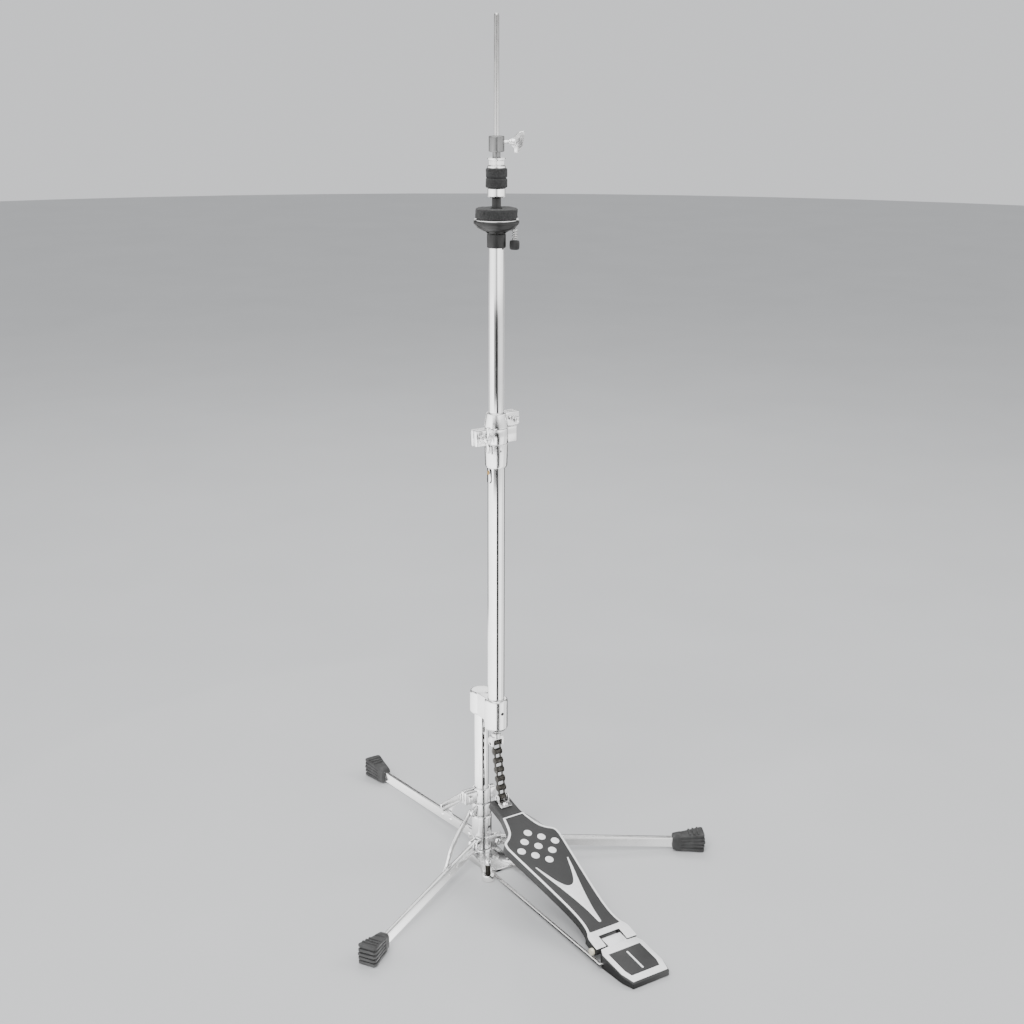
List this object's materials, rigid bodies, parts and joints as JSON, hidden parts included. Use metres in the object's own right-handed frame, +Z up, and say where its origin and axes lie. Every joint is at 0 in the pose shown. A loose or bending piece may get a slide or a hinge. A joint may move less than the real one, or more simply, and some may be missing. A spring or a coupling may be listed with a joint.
{
  "type": "hi-hat stand",
  "caption": "Hi-hat cymbal stand with a two-part height-adjustable column, chain-driven footboard, clutch and cymbal seat on a low folding base of flat bar legs.",
  "frame": {"origin": "centre of the base casting's underside, on the pillar axis, at floor level", "axes": "+Z up along the pillar and the rod; -Y towards the heel of the footboard; +X to the right of a player who sits at the heel and looks along +Y"},
  "size_m": [0.5602, 0.6972, 1.1331],
  "materials": {
    "tube_chrome": "polished plating",
    "rod_steel": "ground and plated",
    "cast_chrome": "plated casting",
    "fitting_chrome": "polished fittings",
    "leg_chrome": "plated flat bar",
    "clutch_metal": "brushed, mid grey",
    "plain_steel": "plain turned steel",
    "spring_steel": "drawn wire",
    "dark_steel": "oiled dark steel",
    "board_paint": "satin dark grey with bright edges and inlays",
    "heel_paint": "satin dark grey inlay with a light grey border",
    "black_plastic": "moulded, satin",
    "badge_black": "gloss plate with a plain gold mark",
    "pin_cream": "cream cap on a steel pin",
    "felt": "pressed wool felt, black",
    "rubber": "moulded, matt"
  },
  "bodies": {
    "frame": {"pillar_tube": "tube_chrome", "offset_block": "cast_chrome", "base_casting": "cast_chrome", "leg_spider": "cast_chrome", "pillar_collar": "cast_chrome", "radius_rod": "rod_steel", "heel_plate": "heel_paint", "heel_pin": "pin_cream", "lower_tube": "tube_chrome", "badge": "badge_black", "spring_cup": "plain_steel", "return_spring": "spring_steel", "tube_bush": "black_plastic", "height_clamp": "cast_chrome", "height_clamp_jaw": "cast_chrome", "leg_pin_rear": "leg_chrome", "leg_pin_left": "leg_chrome", "leg_pin_right": "leg_chrome"},
    "height_bolt": {"height_wing_bolt": "fitting_chrome"},
    "stop_ring": {"memory_lock": "cast_chrome"},
    "key_bolt": {"memory_key_bolt": "fitting_chrome"},
    "top_tube": {"upper_tube": "tube_chrome", "tube_collar": "black_plastic", "seat_cup": "black_plastic", "seat_stem": "black_plastic", "tilt_spring": "spring_steel"},
    "tilt_knob_body": {"tilt_screw": "plain_steel", "tilt_knob": "black_plastic"},
    "seat_top": {"seat_washer": "plain_steel", "seat_felt": "felt"},
    "rod": {"pull_rod": "rod_steel", "lower_rod": "rod_steel", "rod_coupler": "plain_steel", "spring_nut": "plain_steel", "chain_yoke": "plain_steel"},
    "chain": {"drive_chain": "dark_steel"},
    "clutch": {"clutch_body": "clutch_metal", "clutch_lock_nut": "fitting_chrome", "clutch_felt_upper": "felt", "clutch_felt_lower": "felt"},
    "clutch_bolt": {"clutch_wing_bolt": "fitting_chrome"},
    "clutch_bottom_nut": {"clutch_nut": "fitting_chrome"},
    "pedal": {"footboard": "board_paint", "toe_bracket": "plain_steel", "toe_bolt": "fitting_chrome"},
    "rear_leg": {"leg_rear": "leg_chrome", "foot_rear": "rubber"},
    "left_leg": {"leg_left": "leg_chrome", "foot_left": "rubber"},
    "right_leg": {"leg_right": "leg_chrome", "foot_right": "rubber"},
    "rear_strut": {"strut_rear": "leg_chrome"},
    "left_strut": {"strut_left": "leg_chrome"},
    "right_strut": {"strut_right": "leg_chrome"},
    "collar": {"strut_collar": "cast_chrome", "collar_clamp": "cast_chrome", "clamp_bolt": "fitting_chrome"},
    "lever": {"clamp_lever": "fitting_chrome"},
    "left_spur": {"spur_left": "dark_steel"},
    "right_spur": {"spur_right": "dark_steel"}
  },
  "joints": [
    {"name": "footboard_press", "type": "hinge", "parent": "frame", "child": "pedal", "pos_m": [0, -0.305, 0.0153], "axis": [-1, 0, 0], "range_deg": [0, 2.39], "stiffness_Nm_per_rad": 20, "springref_deg": -20.05},
    {"name": "rod_slide", "type": "slide", "parent": "frame", "child": "rod", "axis": [0, 0, 1], "range_m": [-0.0101, 0], "deforming": ["return_spring"]},
    {"name": "chain_swing", "type": "hinge", "parent": "rod", "child": "chain", "pos_m": [0, -0.036, 0.18721], "axis": [1, 0, 0], "range_deg": [0, 2.95]},
    {"name": "clutch_slide", "type": "slide", "parent": "rod", "child": "clutch", "axis": [0, 0, 1], "range_m": [0, 0.1]},
    {"name": "clutch_wing_turn", "type": "hinge", "parent": "clutch", "child": "clutch_bolt", "pos_m": [0, -0.036, 0.98307], "axis": [0.829, -0.5592, 0], "range_deg": [0, 180]},
    {"name": "clutch_nut_turn", "type": "hinge", "parent": "clutch", "child": "clutch_bottom_nut", "pos_m": [0, -0.036, 0.92], "axis": [0, 0, 1], "range_deg": [0, 720]},
    {"name": "height_slide", "type": "slide", "parent": "frame", "child": "top_tube", "axis": [0, 0, 1], "range_m": [-0.15, 0]},
    {"name": "tilt_knob_turn", "type": "hinge", "parent": "top_tube", "child": "tilt_knob_body", "pos_m": [0.01857, -0.04853, 0.86], "axis": [0, 0, 1], "range_deg": [0, 1085]},
    {"name": "seat_tilt", "type": "hinge", "parent": "top_tube", "child": "seat_top", "pos_m": [-0.02238, -0.0209, 0.8888], "axis": [-0.5592, -0.829, 0], "range_deg": [0, 2.5]},
    {"name": "memory_lock_slide", "type": "slide", "parent": "frame", "child": "stop_ring", "axis": [0, 0, 1], "range_m": [0, 0.05]},
    {"name": "memory_key_turn", "type": "hinge", "parent": "stop_ring", "child": "key_bolt", "pos_m": [0.023, -0.036, 0.63635], "axis": [0, 1, 0], "range_deg": [0, 180]},
    {"name": "height_wing_turn", "type": "hinge", "parent": "frame", "child": "height_bolt", "pos_m": [-0.024, -0.036, 0.6163], "axis": [0, 1, 0], "range_deg": [0, 180]},
    {"name": "rear_leg_fold", "type": "hinge", "parent": "frame", "child": "rear_leg", "pos_m": [0, 0.022, 0.025], "axis": [1, 0, 0], "range_deg": [0, 60]},
    {"name": "left_leg_fold", "type": "hinge", "parent": "frame", "child": "left_leg", "pos_m": [-0.01905, -0.011, 0.025], "axis": [-0.5, 0.866, 0], "range_deg": [0, 60.05]},
    {"name": "right_leg_fold", "type": "hinge", "parent": "frame", "child": "right_leg", "pos_m": [0.01905, -0.011, 0.025], "axis": [-0.5, -0.866, 0], "range_deg": [0, 60.05]},
    {"name": "collar_slide", "type": "slide", "parent": "frame", "child": "collar", "axis": [0, 0, 1], "range_m": [0, 0.0982]},
    {"name": "rear_strut_turn", "type": "hinge", "parent": "collar", "child": "rear_strut", "pos_m": [0.0049, 0.026, 0.0765], "axis": [-1, 0, 0], "range_deg": [0, 28.68]},
    {"name": "left_strut_turn", "type": "hinge", "parent": "collar", "child": "left_strut", "pos_m": [-0.02497, -0.00876, 0.0765], "axis": [0.5, -0.866, 0], "range_deg": [0, 28.68]},
    {"name": "right_strut_turn", "type": "hinge", "parent": "collar", "child": "right_strut", "pos_m": [0.02007, -0.01724, 0.0765], "axis": [0.5, 0.866, 0], "range_deg": [0, 28.68]},
    {"name": "lever_turn", "type": "hinge", "parent": "collar", "child": "lever", "pos_m": [-0.022, 0, 0.0961], "axis": [0, 1, 0], "range_deg": [0, 50]},
    {"name": "left_spur_slide", "type": "slide", "parent": "frame", "child": "left_spur", "axis": [0, 0, 1], "range_m": [-0.008, 0]},
    {"name": "right_spur_slide", "type": "slide", "parent": "frame", "child": "right_spur", "axis": [0, 0, 1], "range_m": [-0.008, 0]}
  ],
  "couplings": [
    {"joint": "rod_slide", "follows": "footboard_press", "m_per_rad": -0.24},
    {"joint": "chain_swing", "follows": "footboard_press", "ratio": 1.2247},
    {"joint": "tilt_knob_turn", "follows": "seat_tilt", "ratio": 432},
    {"joint": "left_leg_fold", "follows": "rear_leg_fold", "ratio": 1},
    {"joint": "right_leg_fold", "follows": "rear_leg_fold", "ratio": 1},
    {"joint": "collar_slide", "follows": "rear_leg_fold", "m_per_rad": 0.093583},
    {"joint": "rear_strut_turn", "follows": "rear_leg_fold", "ratio": 0.47633},
    {"joint": "left_strut_turn", "follows": "rear_leg_fold", "ratio": 0.47633},
    {"joint": "right_strut_turn", "follows": "rear_leg_fold", "ratio": 0.47633}
  ]
}
